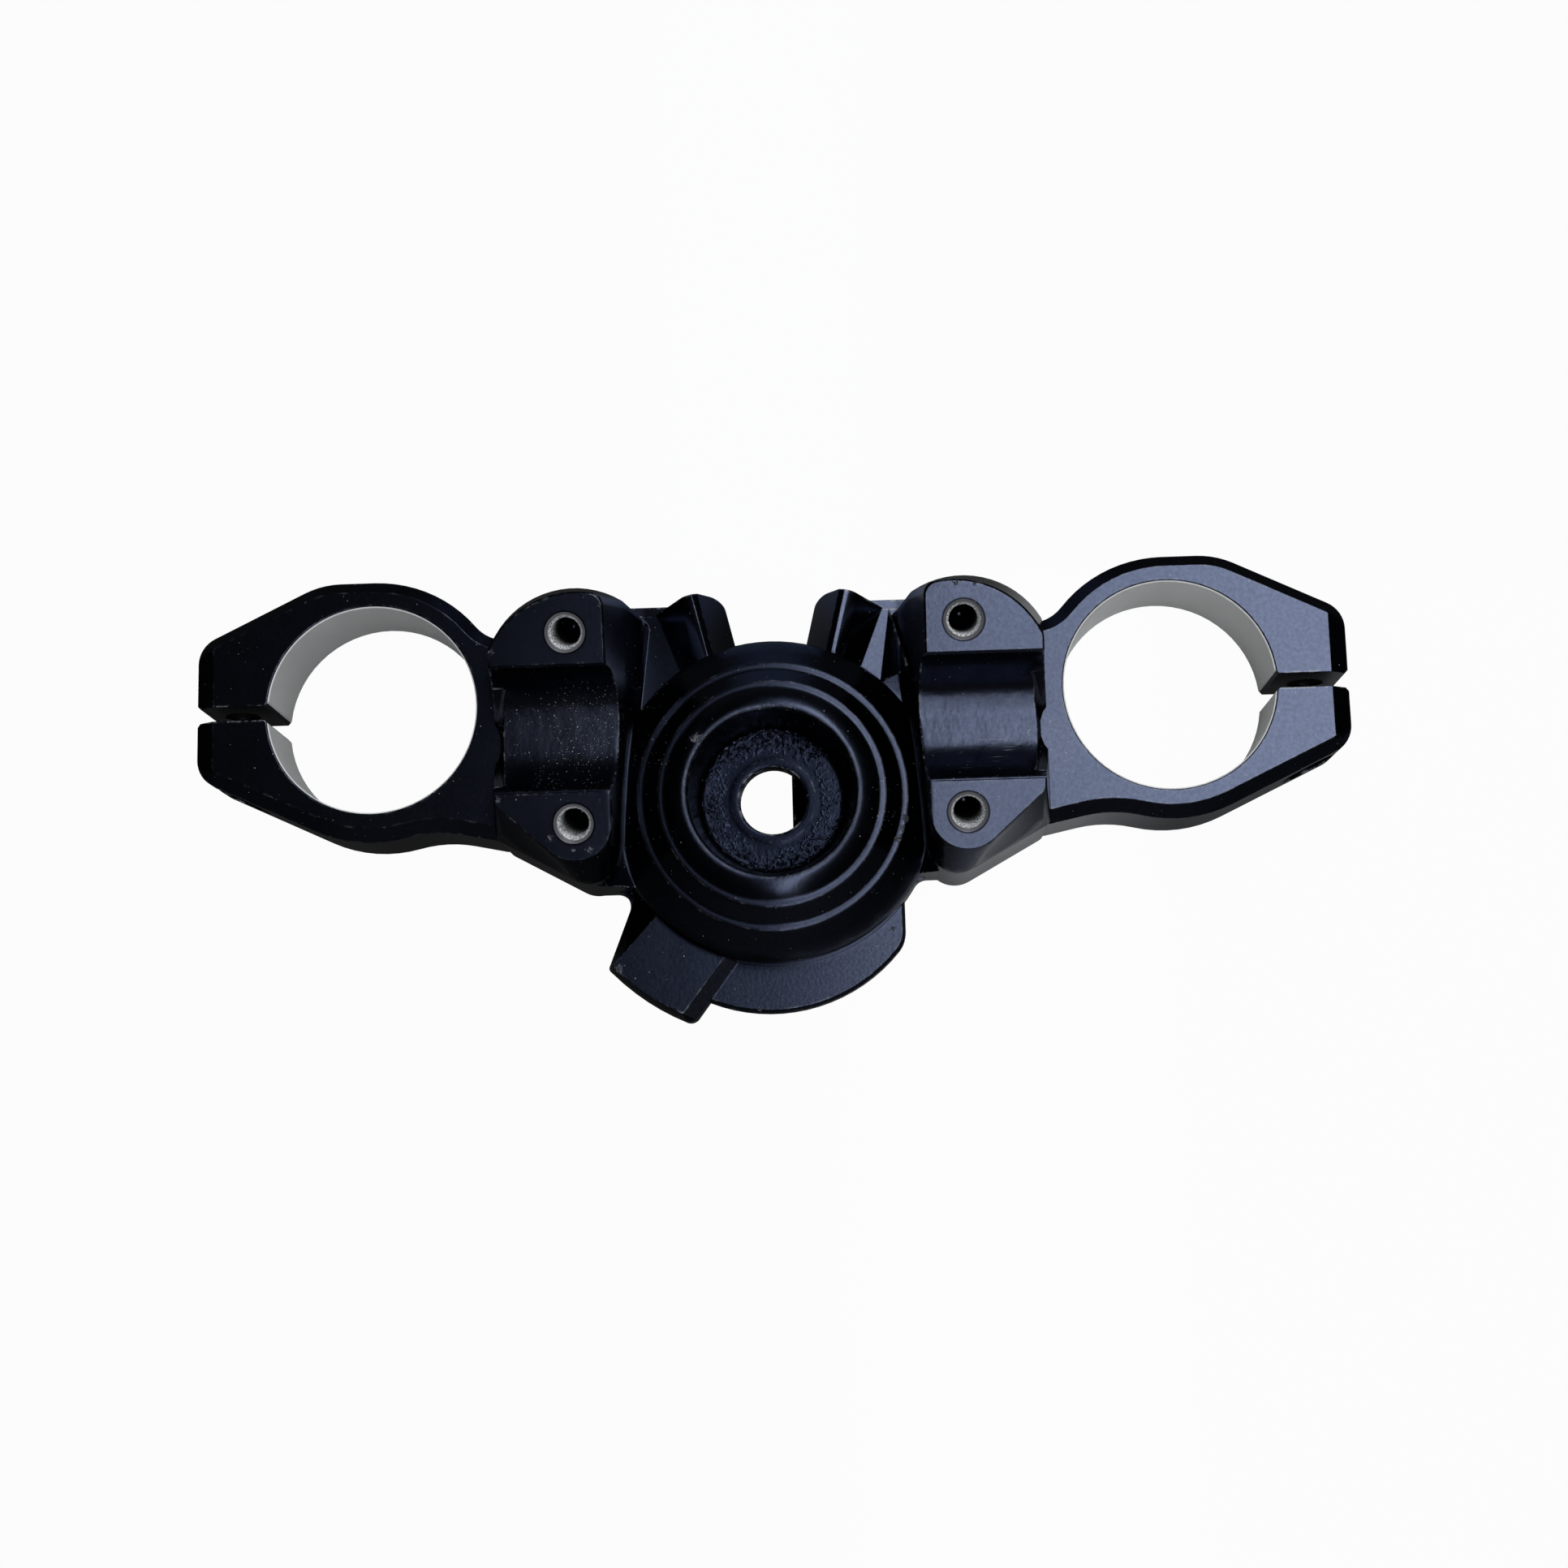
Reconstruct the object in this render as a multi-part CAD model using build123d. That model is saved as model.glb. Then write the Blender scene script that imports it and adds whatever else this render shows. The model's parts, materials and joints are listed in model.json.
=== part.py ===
from build123d import *
import os
from math import acos, atan2, cos, radians, sin, sqrt, tan

# Upper triple clamp of a motorcycle: one aluminium casting with two split fork clamps, two
# handlebar saddles and a stepped central cup over the steering stem.
# Millimetres. X points to the rider's right, Y to the front, Z up along the steering axis.
# The origin is on the steering axis, in the flat underside.

# Fork clamps: places in them are measured from the fork axis
fork_bore = 50.0
fork_spacing = 190.0
fork_offset = 23.0
clamp_height = 25.0
clamp_wall = 6.8
clamp_chamfer = 3.0
bore_chamfer = 0.5
nose_length = 17.6
nose_front_angle = 26.0
nose_rear_angle = 25.3
nose_front_extra = 2.4
nose_corner = 7.0
nose_blend = 20.0
nose_end_bevel = 4.4
slit_width = 3.5
slit_corner = 0.8

# Pinch bolts across the slits
pinch_thread = 8.0
pinch_clearance = 0.6
pinch_beside_bore = 9.0
pinch_head_room = 14.0
pinch_grip = 12.0
pinch_thread_depth = 17.0
drill_point = 118.0

# Arms between the saddles and the fork clamps
arm_front = 16.5
arm_front_blend = 10.0
arm_rear_angle = 245.0
arm_rear_blend = 30.0

# Handlebar saddles: the pad lies in the tilted plane through the bar axis
bar_diameter = 28.6
bar_ahead = 13.3
bar_clearance = 1.7
bolt_thread = 8.0
bolt_countersink = 0.7
bolt_depth = 20.0
bolt_beside_bar = 7.9
pad_tilt = 17.3
pad_inner = 9.0
pad_outer = 18.3
pad_tube_gap = 6.0
pad_front_radius = 22.9
pad_front_inset = 2.5
pad_front_reach = 9.3
pad_rear_radius = 9.0
pad_rear_corner = 4.6
pad_corners = (3.0, 2.0, 2.5)
pad_edge = 0.4
groove_chamfer = 0.7
relief_width = 6.0
relief_mouth_width = 12.4
relief_mouth_reach = 0.8
relief_rise = 9.0
relief_side_slope = 45.0
relief_draft = 18.0
relief_bevel = 1.2

# Saddle towers below the pads: widths from the bolts, the rest from the line of the fork axes
waist_below_clamp = 1.0
waist_inner = 12.2
waist_front = (0.9, 6.9, 21.5)
foot_inner = 16.2
toe_run = 1.0
toe_rise = 0.9
gusset_inner = 18.9
gusset_rear = 6.1
foot_front = (0.9, 7.4, 23.4)
foot_tube_gap = 4.4
foot_lobe = (-2.2, -36.4, 7.0)
foot_rear_corner = -32.2

# Central boss and its cup
boss_radius = 39.4
boss_shoulder = 13.5
rim_rise = 1.4
rim_radius = 22.2
rim_crest = 20.7
rim_inner_bevel = 0.6
rim_outer_bevel = 1.2
shoulder_bevel = 1.0
ledge_a_radius = 33.0
ledge_a_drop = 6.4
ledge_b_radius = 27.8
ledge_b_drop = 2.4
ledge_width = 1.3
ledge_bevel = 0.65
cup_floor = 12.5
cup_floor_radius = 17.4
cup_floor_bevel = 0.8
cup_floor_thickness = 4.5
cup_draft = 10.5
stem_hole = 16.5
stem_land = 10.3
stem_land_rise = 0.2
stem_flat = 4.5
stem_key_step = 0.2
stem_counterbore = 2.0
stem_seat = 30.0
stem_seat_chamfer = 0.8

# Valley plates and the two fins at the front
valley_floor = 8.0
valley_front = 24.8
ledge_height = 4.0
ledge_front = 27.9
fin_height = 13.5
fin_top = 3.0
fin_angle = 13.5
fin_through = (17.4, 20.8)
fin_gap_run = 6.2
fin_valley_run = 7.9
fin_valley_splay = 7.8
fin_end = 7.9
fin_end_slant = 1.4
fin_end_gap_corner = 3.0
fin_bevel = 1.0

# Webs between the towers' rear lobes and the boss
web_height = 20.0
web_rear_right = -18.9
web_fillet = 3.6

# Steering stop tab: angles about the steering axis at the boss and at the tab's end
tab_height = 9.5
tab_wall = 6.0
tab_radius = 55.5
tab_flare = 1.2
tab_top_angles = ((222.6, 251.0), (224.1, 245.5))
tab_foot_angles = ((211.0, 255.5), (223.6, 248.5))
tab_foot_corners = (1.2, 2.5)
tab_top_corners = (0.6, 0.6)

# Flange round the rear of the boss
flange_height = 4.5
flange_radius = 40.3
flange_centre = (-1.4, -10.2)
flange_side = 31.0
flange_corner = 7.0
flange_edge = 0.8

# Pockets under the saddles
pocket_inset = 5.5
pocket_corner = 3.0
pocket_below_clamp = 15.0
pocket_draft = 4.0

fork_x = fork_spacing / 2
clamp_radius = fork_bore / 2 + clamp_wall
nose_reach = fork_bore / 2 + nose_length
rim_height = clamp_height + rim_rise
bar_height = rim_height + bar_clearance + bar_diameter / 2
bolt_half = bar_diameter / 2 + bolt_beside_bar
pad_end = fork_x - fork_bore / 2 - pad_tube_gap
foot_end = fork_x - fork_bore / 2 - foot_tube_gap
bolt_x = pad_end - pad_outer
waist_height = clamp_height - waist_below_clamp
pad_plane = Plane(
    origin=(0, bar_ahead, bar_height),
    x_dir=(1, 0, 0),
    z_dir=(0, -sin(radians(pad_tilt)), cos(radians(pad_tilt))),
)
clear = 2 * clamp_height
on_floor = (Align.CENTER, Align.CENTER, Align.MIN)


def both_sides(shape):
    """The shape and its mirror image across the middle of the yoke."""
    return shape + mirror(shape, about=Plane.YZ)


def polar(radius, angle):
    """Point at a radius and an angle in degrees."""
    return (radius * cos(radians(angle)), radius * sin(radians(angle)))


def tangent_point(centre, radius, point, turn):
    """Where the tangent from a point touches a circle, on the side that turn (1 or -1) picks."""
    dx = point[0] - centre[0]
    dy = point[1] - centre[1]
    angle = atan2(dy, dx) + turn * acos(radius / sqrt(dx * dx + dy * dy))
    return (centre[0] + radius * cos(angle), centre[1] + radius * sin(angle))


def round_corner(outline, corner, radius):
    """The flat outline with the corner nearest to a point rounded."""
    return fillet(outline.vertices().sort_by_distance(Vector(*corner, 0))[0], radius)


def bevel_corner(outline, corner, length):
    """The flat outline with the corner nearest to a point bevelled."""
    return chamfer(outline.vertices().sort_by_distance(Vector(*corner, 0))[0], length)


def blind_hole(radius, depth, countersink):
    """Drilled hole that goes down from the origin, with a countersunk mouth and a pointed end."""
    mouth = radius + countersink
    point = radius / tan(radians(drill_point / 2))
    profile = make_face(
        Polyline(
            (0, countersink),
            (mouth, countersink),
            (mouth, 0),
            (radius, -countersink),
            (radius, -depth),
            (0, -depth - point),
            close=True,
        )
    )
    return revolve(Plane.XZ * profile, Axis.Z)


def tower_section(inner, outer, front, lobe, rear_corner):
    """One level of a saddle tower: flat inner and outer sides, an arc in front, a lobe at the rear.

    Every level has the same run of edges, so that one level can be lofted into the next.
    """
    front_x, front_y, front_radius = front
    lobe_x, lobe_y, lobe_radius = lobe
    inner_top = (inner, front_y + sqrt(front_radius**2 - (inner - front_x) ** 2))
    outer_top = (outer, front_y + sqrt(front_radius**2 - (outer - front_x) ** 2))
    outer_bottom = (outer, rear_corner)
    lobe_outer = tangent_point((lobe_x, lobe_y), lobe_radius, outer_bottom, -1)
    lobe_inner = tangent_point((lobe_x, lobe_y), lobe_radius, inner_top, 1)
    outline = make_face(
        [
            Line(lobe_inner, inner_top),
            ThreePointArc(inner_top, (front_x, front_y + front_radius), outer_top),
            Line(outer_top, outer_bottom),
            Line(outer_bottom, lobe_outer),
            ThreePointArc(lobe_outer, (lobe_x, lobe_y - lobe_radius), lobe_inner),
        ]
    )
    for corner, radius in zip((inner_top, outer_top, outer_bottom), pad_corners):
        outline = round_corner(outline, corner, radius)
    return outline


def pad_section(inset):
    """Pad outline, measured from the bar axis in the pad plane, drawn in by an inset."""
    front_y = bolt_half + pad_front_reach - pad_front_radius
    return tower_section(
        bolt_x - pad_inner + inset,
        pad_end - inset,
        (bolt_x - pad_front_inset, front_y, pad_front_radius - inset),
        (bolt_x, -bolt_half, pad_rear_radius - inset),
        pad_rear_corner - bolt_half,
    )


def lower_section(inner, up):
    """Tower outline between the foot (up = 0) and the waist (up = 1), from the line of the fork axes."""
    front = [low + up * (high - low) for low, high in zip(foot_front, waist_front)]
    return tower_section(
        bolt_x - inner,
        foot_end,
        (bolt_x + front[0], front[1], front[2]),
        (bolt_x + foot_lobe[0], foot_lobe[1], foot_lobe[2]),
        foot_rear_corner,
    )


def tower():
    """Right saddle tower, lofted from the underside through the waist to the tilted pad's broken edge.

    Its inner flank spreads out in a small toe where it meets the valley floor.
    """
    levels = (
        (0, foot_inner),
        (valley_floor, foot_inner),
        (valley_floor + toe_rise, foot_inner - toe_run),
        (waist_height, waist_inner),
    )
    lower = [
        Pos(0, fork_offset, height) * lower_section(inner, height / waist_height) for height, inner in levels
    ]
    rim = pad_plane.offset(-pad_edge) * pad_section(0)
    pad = pad_plane * pad_section(pad_edge)
    return loft([*lower, rim, pad], ruled=True)


def gusset():
    """Sloped filler between the right tower's inner flank and the boss."""
    front = Vector(bolt_x - foot_inner, fork_offset + valley_front, valley_floor)
    rear = Vector(bolt_x - gusset_inner, fork_offset + gusset_rear, valley_floor)
    top = Vector(bolt_x - waist_inner, fork_offset + gusset_rear, waist_height)
    outline = make_face(Polyline(*[(point.X, point.Y) for point in (front, rear, top)], close=True))
    flank = Plane(origin=front, x_dir=rear - front, z_dir=(rear - front).cross(top - front))
    return split(extrude(outline, clamp_height), flank, keep=Keep.BOTTOM)


def saddle_cuts():
    """Bar groove, the four bolt holes' right pair and the shallow relief at the saddle's outer end."""
    along = Plane(origin=(0, bar_ahead, bar_height), x_dir=(0, 1, 0), z_dir=(1, 0, 0))
    groove = extrude(along * Circle(bar_diameter / 2), fork_x)
    edge = bar_diameter / 2 + groove_chamfer
    deep = 2 * groove_chamfer
    inside = edge - deep
    flare = make_face(Polyline((-edge, 0), (edge, 0), (inside, -deep), (-inside, -deep), close=True))
    tilt = Plane(origin=along.origin, x_dir=pad_plane.y_dir, z_dir=(1, 0, 0))
    cuts = groove + extrude(tilt * flare, fork_x)
    for place in (bolt_half, -bolt_half):
        hole = blind_hole(bolt_thread / 2, bolt_depth, bolt_countersink)
        cuts += pad_plane * Pos(bolt_x, place) * hole
    return cuts + relief_cut()


def relief_outline(inner, spread):
    """Relief in plan, measured from the bar axis: narrow inside, wider at its mouth, widened by a spread."""
    half_in = relief_width / 2 + spread
    half_out = relief_mouth_width / 2 + spread
    mouth = foot_end + relief_mouth_reach
    outline = make_face(
        Polyline(
            (inner, half_in),
            (inner, -half_in),
            (mouth, -half_out),
            (fork_x, -half_out),
            (fork_x, half_out),
            (mouth, half_out),
            close=True,
        )
    )
    for side in (half_in, -half_in):
        outline = bevel_corner(outline, (inner, side), relief_bevel)
    return outline


def relief_cut():
    """Recess in the saddle's outer end that opens outwards and upwards from the clamp face."""
    spread = relief_rise / tan(radians(relief_side_slope))
    top_inner = pad_end - relief_rise * tan(radians(relief_draft))
    low = Pos(0, bar_ahead, clamp_height) * relief_outline(pad_end, 0)
    high = Pos(0, bar_ahead, clamp_height + relief_rise) * relief_outline(top_inner, spread)
    return loft([low, high], ruled=True)


def saddle_pocket():
    """Hollow under the right tower that keeps its wall even, open at the underside."""
    core = offset(lower_section(foot_inner, 0), -pocket_inset - pocket_corner)
    outline = offset(core, pocket_corner)
    hollow = extrude(outline, clamp_height - pocket_below_clamp, taper=pocket_draft)
    return Pos(0, fork_offset, 0) * hollow


def clamp_outline():
    """Right fork clamp with its nose and arm, measured from the fork axis."""
    front_slope = tan(radians(nose_front_angle))
    rear_slope = tan(radians(nose_rear_angle))
    front_at_axis = (clamp_radius + nose_front_extra) / cos(radians(nose_front_angle))
    rear_at_axis = clamp_radius / cos(radians(nose_rear_angle))
    shoulder = ((front_at_axis - clamp_radius) / front_slope, clamp_radius)
    nose_front = (nose_reach, front_at_axis - front_slope * nose_reach)
    nose_rear = (nose_reach, rear_slope * nose_reach - rear_at_axis)
    rear_touch = polar(clamp_radius, nose_rear_angle - 90)
    nose = Polyline((0, 0), (0, clamp_radius), shoulder, nose_front, nose_rear, rear_touch, close=True)
    tower_x = bolt_x - fork_x
    arm_rear = polar(clamp_radius, arm_rear_angle)
    arm = Polyline(
        (tower_x, arm_front),
        (-clamp_radius / 2, arm_front),
        arm_rear,
        (foot_end - fork_x, foot_rear_corner),
        (tower_x, foot_rear_corner),
        close=True,
    )
    outline = Sketch() + Circle(clamp_radius) + make_face(nose) + make_face(arm)
    outline = round_corner(outline, nose_front, nose_corner)
    outline = round_corner(outline, nose_rear, nose_corner)
    outline = round_corner(outline, shoulder, nose_blend)
    front_neck = (-sqrt(clamp_radius**2 - arm_front**2), arm_front)
    outline = round_corner(outline, front_neck, arm_front_blend)
    return round_corner(outline, arm_rear, arm_rear_blend)


def fork_clamp():
    """Right fork clamp as a solid block, bevelled all round, more so at the end of the nose."""
    block = extrude(clamp_outline(), clamp_height)
    level = block.edges().filter_by(lambda edge: edge.bounding_box().size.Z < bore_chamfer)
    block = chamfer(level, clamp_chamfer)
    bevel = make_face(
        Polyline(
            (nose_reach - nose_end_bevel, clamp_height),
            (nose_reach, clamp_height - clamp_chamfer),
            (nose_reach + clamp_chamfer, clamp_height),
            close=True,
        )
    )
    block -= extrude(Plane.XZ * bevel, clamp_radius, both=True)
    return block


def fork_cuts():
    """Fork bore with broken edges, the slit through the nose and the pinch bolt's holes."""
    radius = fork_bore / 2
    bore = make_face(
        Polyline(
            (0, -bore_chamfer),
            (radius + 2 * bore_chamfer, -bore_chamfer),
            (radius, bore_chamfer),
            (radius, clamp_height - bore_chamfer),
            (radius + 2 * bore_chamfer, clamp_height + bore_chamfer),
            (0, clamp_height + bore_chamfer),
            close=True,
        )
    )
    half = slit_width / 2
    slit = make_face(
        Polyline(
            (radius - slit_corner, half + 2 * slit_corner),
            (radius + slit_corner, half),
            (nose_reach - slit_corner, half),
            (nose_reach + slit_corner, half + 2 * slit_corner),
            (nose_reach + slit_corner, -half - 2 * slit_corner),
            (nose_reach - slit_corner, -half),
            (radius + slit_corner, -half),
            (radius - slit_corner, -half - 2 * slit_corner),
            close=True,
        )
    )
    cuts = revolve(Plane.XZ * bore, Axis.Z) + extrude(slit, clamp_height)
    bolt_at = Pos(radius + pinch_beside_bore, 0, clamp_height / 2)
    thread = blind_hole(pinch_thread / 2, pinch_thread_depth, bore_chamfer)
    cuts += bolt_at * Pos(0, half, 0) * Rot(90, 0, 0) * thread
    shank = Cylinder((pinch_thread + pinch_clearance) / 2, half + pinch_grip, align=on_floor)
    head = Cylinder(pinch_head_room / 2, clamp_radius, align=on_floor)
    return cuts + bolt_at * Rot(90, 0, 0) * (shank + Pos(0, 0, half + pinch_grip) * head)


def boss():
    """Central boss: a bell with two narrow ledges and a bevelled rim, turned about the steering axis."""
    ledge_a = rim_height - ledge_a_drop
    ledge_b = rim_height - ledge_b_drop
    profile = make_face(
        Polyline(
            (0, 0),
            (boss_radius, 0),
            (boss_radius, boss_shoulder),
            (ledge_a_radius, ledge_a - ledge_bevel),
            (ledge_a_radius - ledge_bevel, ledge_a),
            (ledge_a_radius - ledge_bevel - ledge_width, ledge_a),
            (ledge_b_radius, ledge_b - ledge_bevel),
            (ledge_b_radius - ledge_bevel, ledge_b),
            (ledge_b_radius - ledge_bevel - ledge_width, ledge_b),
            (rim_radius, rim_height),
            (0, rim_height),
            close=True,
        )
    )
    profile = bevel_corner(profile, (rim_radius, rim_height), rim_outer_bevel)
    profile = bevel_corner(profile, (boss_radius, boss_shoulder), shoulder_bevel)
    return revolve(Plane.XZ * profile, Axis.Z)


def cup_cuts():
    """Room inside the cup, the stem hole with its flat, and the seat for the stem below."""
    floor_edge = (cup_floor_radius, cup_floor)
    mouth = (cup_floor_radius + (rim_height - cup_floor) * tan(radians(cup_draft)), rim_height)
    room = make_face(
        Polyline(
            (0, cup_floor + stem_land_rise),
            (stem_land, cup_floor + stem_land_rise),
            (stem_land + stem_land_rise, cup_floor),
            floor_edge,
            mouth,
            (rim_crest, rim_height),
            (rim_crest, rim_height + clear),
            (0, rim_height + clear),
            close=True,
        )
    )
    room = bevel_corner(room, floor_edge, cup_floor_bevel)
    room = bevel_corner(room, mouth, rim_inner_bevel)
    cuts = revolve(Plane.XZ * room, Axis.Z)
    radius = stem_hole / 2
    counterbore = Cylinder(radius, rim_height, align=on_floor)
    cuts += Pos(0, 0, cup_floor + stem_land_rise - stem_counterbore) * counterbore
    key_radius = radius - stem_key_step
    seat_top = cup_floor - cup_floor_thickness
    key_top = cup_floor + stem_land_rise - stem_counterbore
    flat = make_face(
        Polyline(
            (stem_flat, 0),
            (stem_flat, seat_top),
            (radius, key_top),
            (stem_hole, key_top),
            (stem_hole, 0),
            close=True,
        )
    )
    keyed = Cylinder(key_radius, cup_floor, align=on_floor)
    cuts += keyed - extrude(Plane.XZ * flat, stem_hole, both=True)
    seat = Cylinder(stem_seat / 2, seat_top, align=on_floor)
    lead_in = Cone(stem_seat / 2 + stem_seat_chamfer, stem_seat / 2, stem_seat_chamfer, align=on_floor)
    return cuts + seat + lead_in


def fin_frame():
    """Plane across the right fin, with local X towards the tower and Z along the fin to the front."""
    turn = radians(fin_angle)
    return Plane(
        origin=(fin_through[0], fin_through[1] + fork_offset, 0),
        x_dir=(cos(turn), -sin(turn), 0),
        z_dir=(sin(turn), cos(turn), 0),
    )


def fin_section(along):
    """Section of the right fin at a place along it: its flank to the valley spreads out to the front."""
    run = fin_valley_run - (fin_end - along) * tan(radians(fin_valley_splay))
    section = make_face(
        Polyline(
            (-fin_top / 2, -fin_height),
            (fin_top / 2, -fin_height),
            (fin_top / 2 + run, -valley_floor),
            (fin_top / 2 + run, 0),
            (-fin_top / 2 - fin_gap_run, 0),
            close=True,
        )
    )
    for side in (fin_top / 2, -fin_top / 2):
        section = bevel_corner(section, (side, -fin_height), fin_bevel)
    return fin_frame().offset(along) * section


def fin():
    """Right fin: a narrow top, a steep flank to the gap, a shallower one to the valley, a slanted end."""
    ridge = loft([fin_section(-boss_radius / 2), fin_section(2 * fin_end)], ruled=True)
    gap_foot = -fin_top / 2 - fin_gap_run
    valley_foot = fin_top / 2 + fin_valley_run
    plan = make_face(
        Polyline(
            (gap_foot, -boss_radius),
            (valley_foot, -boss_radius),
            (valley_foot, fin_end - fin_end_slant),
            (fin_top / 2, fin_end),
            (gap_foot, fin_end),
            close=True,
        )
    )
    plan = round_corner(plan, (gap_foot, fin_end), fin_end_gap_corner)
    across = fin_frame()
    level = Plane(origin=across.origin, x_dir=across.x_dir, z_dir=(0, 0, 1))
    return ridge & extrude(level * plan, fin_height)


def valley_plate(front, height):
    """Low plate on the right, from the middle of the fin to the tower, as far forward as front."""
    slope = tan(radians(fin_angle))
    rear = boss_radius / 2
    at_fin = fin_through[1]
    front_y = fork_offset + front
    outline = make_face(
        Polyline(
            (fin_through[0] + slope * (rear - fork_offset - at_fin), rear),
            (bolt_x, rear),
            (bolt_x, front_y),
            (fin_through[0] + slope * (front - at_fin), front_y),
            close=True,
        )
    )
    return extrude(outline, height)


def web_end(rear):
    """Where a web ends: in the tower's rear lobe, halfway from its middle to its meeting with the rear."""
    lobe_x, lobe_y, lobe_radius = foot_lobe
    return bolt_x + lobe_x + sqrt(lobe_radius**2 - (fork_offset + lobe_y - rear) ** 2) / 2


def web_outline(side, rear):
    """Web in plan on one side (1 right, -1 left), from the boss to the rear lobe of the tower."""
    end = side * web_end(rear)
    return make_face(Polyline((0, 0), (end, 0), (end, rear), (0, rear), close=True))


def web(side, rear):
    """One web, with a top that rises from the boss's shoulder to the tower's lobe."""
    end = side * web_end(rear)
    lobe_x = side * (bolt_x + foot_lobe[0])
    boss_x = side * sqrt(boss_radius**2 - rear**2)
    profile = make_face(
        Polyline(
            (0, 0),
            (end, 0),
            (end, web_height),
            (lobe_x, web_height),
            (boss_x, boss_shoulder),
            (0, boss_shoulder),
            close=True,
        )
    )
    return extrude(Plane.XZ * profile, -rear)


def webs():
    """Both webs, each with a hollow round where it meets the boss or the stop tab's side."""
    tab_root = polar(boss_radius, tab_foot_angles[0][0])
    corners = (
        (1, web_rear_right, sqrt(boss_radius**2 - web_rear_right**2)),
        (-1, tab_root[1], tab_root[0]),
    )
    skirt = Circle(boss_radius) + tab_outline(tab_radius + tab_flare, tab_foot_angles, tab_foot_corners)
    for side, rear, _ in corners:
        skirt += web_outline(side, rear)
    for side, rear, corner_x in corners:
        skirt = round_corner(skirt, (corner_x, rear), web_fillet)
    both = extrude(skirt & Pos(0, -boss_radius) * Rectangle(4 * boss_radius, 2 * boss_radius), tab_wall)
    for side, rear, _ in corners:
        both += web(side, rear)
    return both


def tab_outline(radius, angles, corners):
    """Stop tab in plan: two straight sides from inside the boss to a rounded end that follows a circle."""
    inner, outer = angles
    middle = (outer[0] + outer[1]) / 2
    right = polar(radius, outer[1])
    left = polar(radius, outer[0])
    outline = make_face(
        [
            Polyline(right, polar(boss_radius, inner[1]), polar(boss_radius / 2, middle)),
            Polyline(polar(boss_radius / 2, middle), polar(boss_radius, inner[0]), left),
            ThreePointArc(left, polar(radius, middle), right),
        ]
    )
    for corner, rounding in zip((left, right), corners):
        outline = round_corner(outline, corner, rounding)
    return outline


def stop_tab():
    """Tab at the rear left that meets the steering stop: upright walls under sloped shoulders."""
    foot = tab_outline(tab_radius + tab_flare, tab_foot_angles, tab_foot_corners)
    top = tab_outline(tab_radius, tab_top_angles, tab_top_corners)
    shoulders = loft([Pos(0, 0, tab_wall) * foot, Pos(0, 0, tab_height) * top], ruled=True)
    return extrude(foot, tab_wall) + shoulders


def rear_flange():
    """Thin flange that follows the boss round the rear, with a straight side on the right."""
    left = polar(boss_radius, tab_foot_angles[0][0])[0]
    keep = Pos((left + flange_side) / 2, -boss_radius) * Rectangle(flange_side - left, 2 * boss_radius)
    outline = (Pos(*flange_centre) * Circle(flange_radius)) & keep
    drop = sqrt(flange_radius**2 - (flange_side - flange_centre[0]) ** 2)
    outline = round_corner(outline, (flange_side, flange_centre[1] - drop), flange_corner)
    flange = extrude(outline, flange_height)
    return chamfer(flange.edges().group_by(Axis.Z)[-1], flange_edge)


side = tower() + valley_plate(valley_front, valley_floor) + valley_plate(ledge_front, ledge_height) + fin()
side += Pos(fork_x, fork_offset, 0) * fork_clamp()
yoke = both_sides(side) + gusset()
yoke += boss()
yoke += webs()
yoke += stop_tab()
yoke += rear_flange()
yoke -= both_sides(saddle_cuts())
yoke -= both_sides(saddle_pocket())
yoke -= both_sides(Pos(fork_x, fork_offset, 0) * fork_cuts())
yoke -= cup_cuts()

os.makedirs("parts", exist_ok=True)
export_step(yoke, "parts/triple_clamp_body.step")
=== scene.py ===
import json
from math import atan2, cos, pi, radians, sin

import bpy
import numpy as np
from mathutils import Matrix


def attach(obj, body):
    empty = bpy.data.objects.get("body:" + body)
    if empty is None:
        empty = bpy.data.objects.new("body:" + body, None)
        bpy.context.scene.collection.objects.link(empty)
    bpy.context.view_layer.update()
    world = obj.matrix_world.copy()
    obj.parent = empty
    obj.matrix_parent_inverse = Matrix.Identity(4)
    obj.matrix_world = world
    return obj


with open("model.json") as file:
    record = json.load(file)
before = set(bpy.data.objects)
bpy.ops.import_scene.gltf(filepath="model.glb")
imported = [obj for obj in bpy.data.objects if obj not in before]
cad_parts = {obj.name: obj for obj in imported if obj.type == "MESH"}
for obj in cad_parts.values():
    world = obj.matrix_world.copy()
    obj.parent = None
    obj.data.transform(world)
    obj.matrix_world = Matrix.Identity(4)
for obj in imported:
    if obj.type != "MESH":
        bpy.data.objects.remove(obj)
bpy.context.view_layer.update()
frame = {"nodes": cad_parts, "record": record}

# Looks of a motorcycle triple clamp: a casting with a satin black coat, bare metal in the fork bores
# and in the threads, dust and small knocks.
# Metres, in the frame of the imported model: X to the rider's right, Y to the front, Z up.
# Patterns in the materials are laid out in millimetres.

body = frame["nodes"]["triple_clamp_body"]
mounts = {mount["name"]: mount for mount in frame["record"]["mounts"]}
per_metre = 1000.0

# Photograph's camera
camera_place = (0.01852, -0.09606, 0.59153)
camera_turn = (9.754, 1.824, -1.492)
camera_lens = 55.9
sensor_width = 36.0

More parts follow.
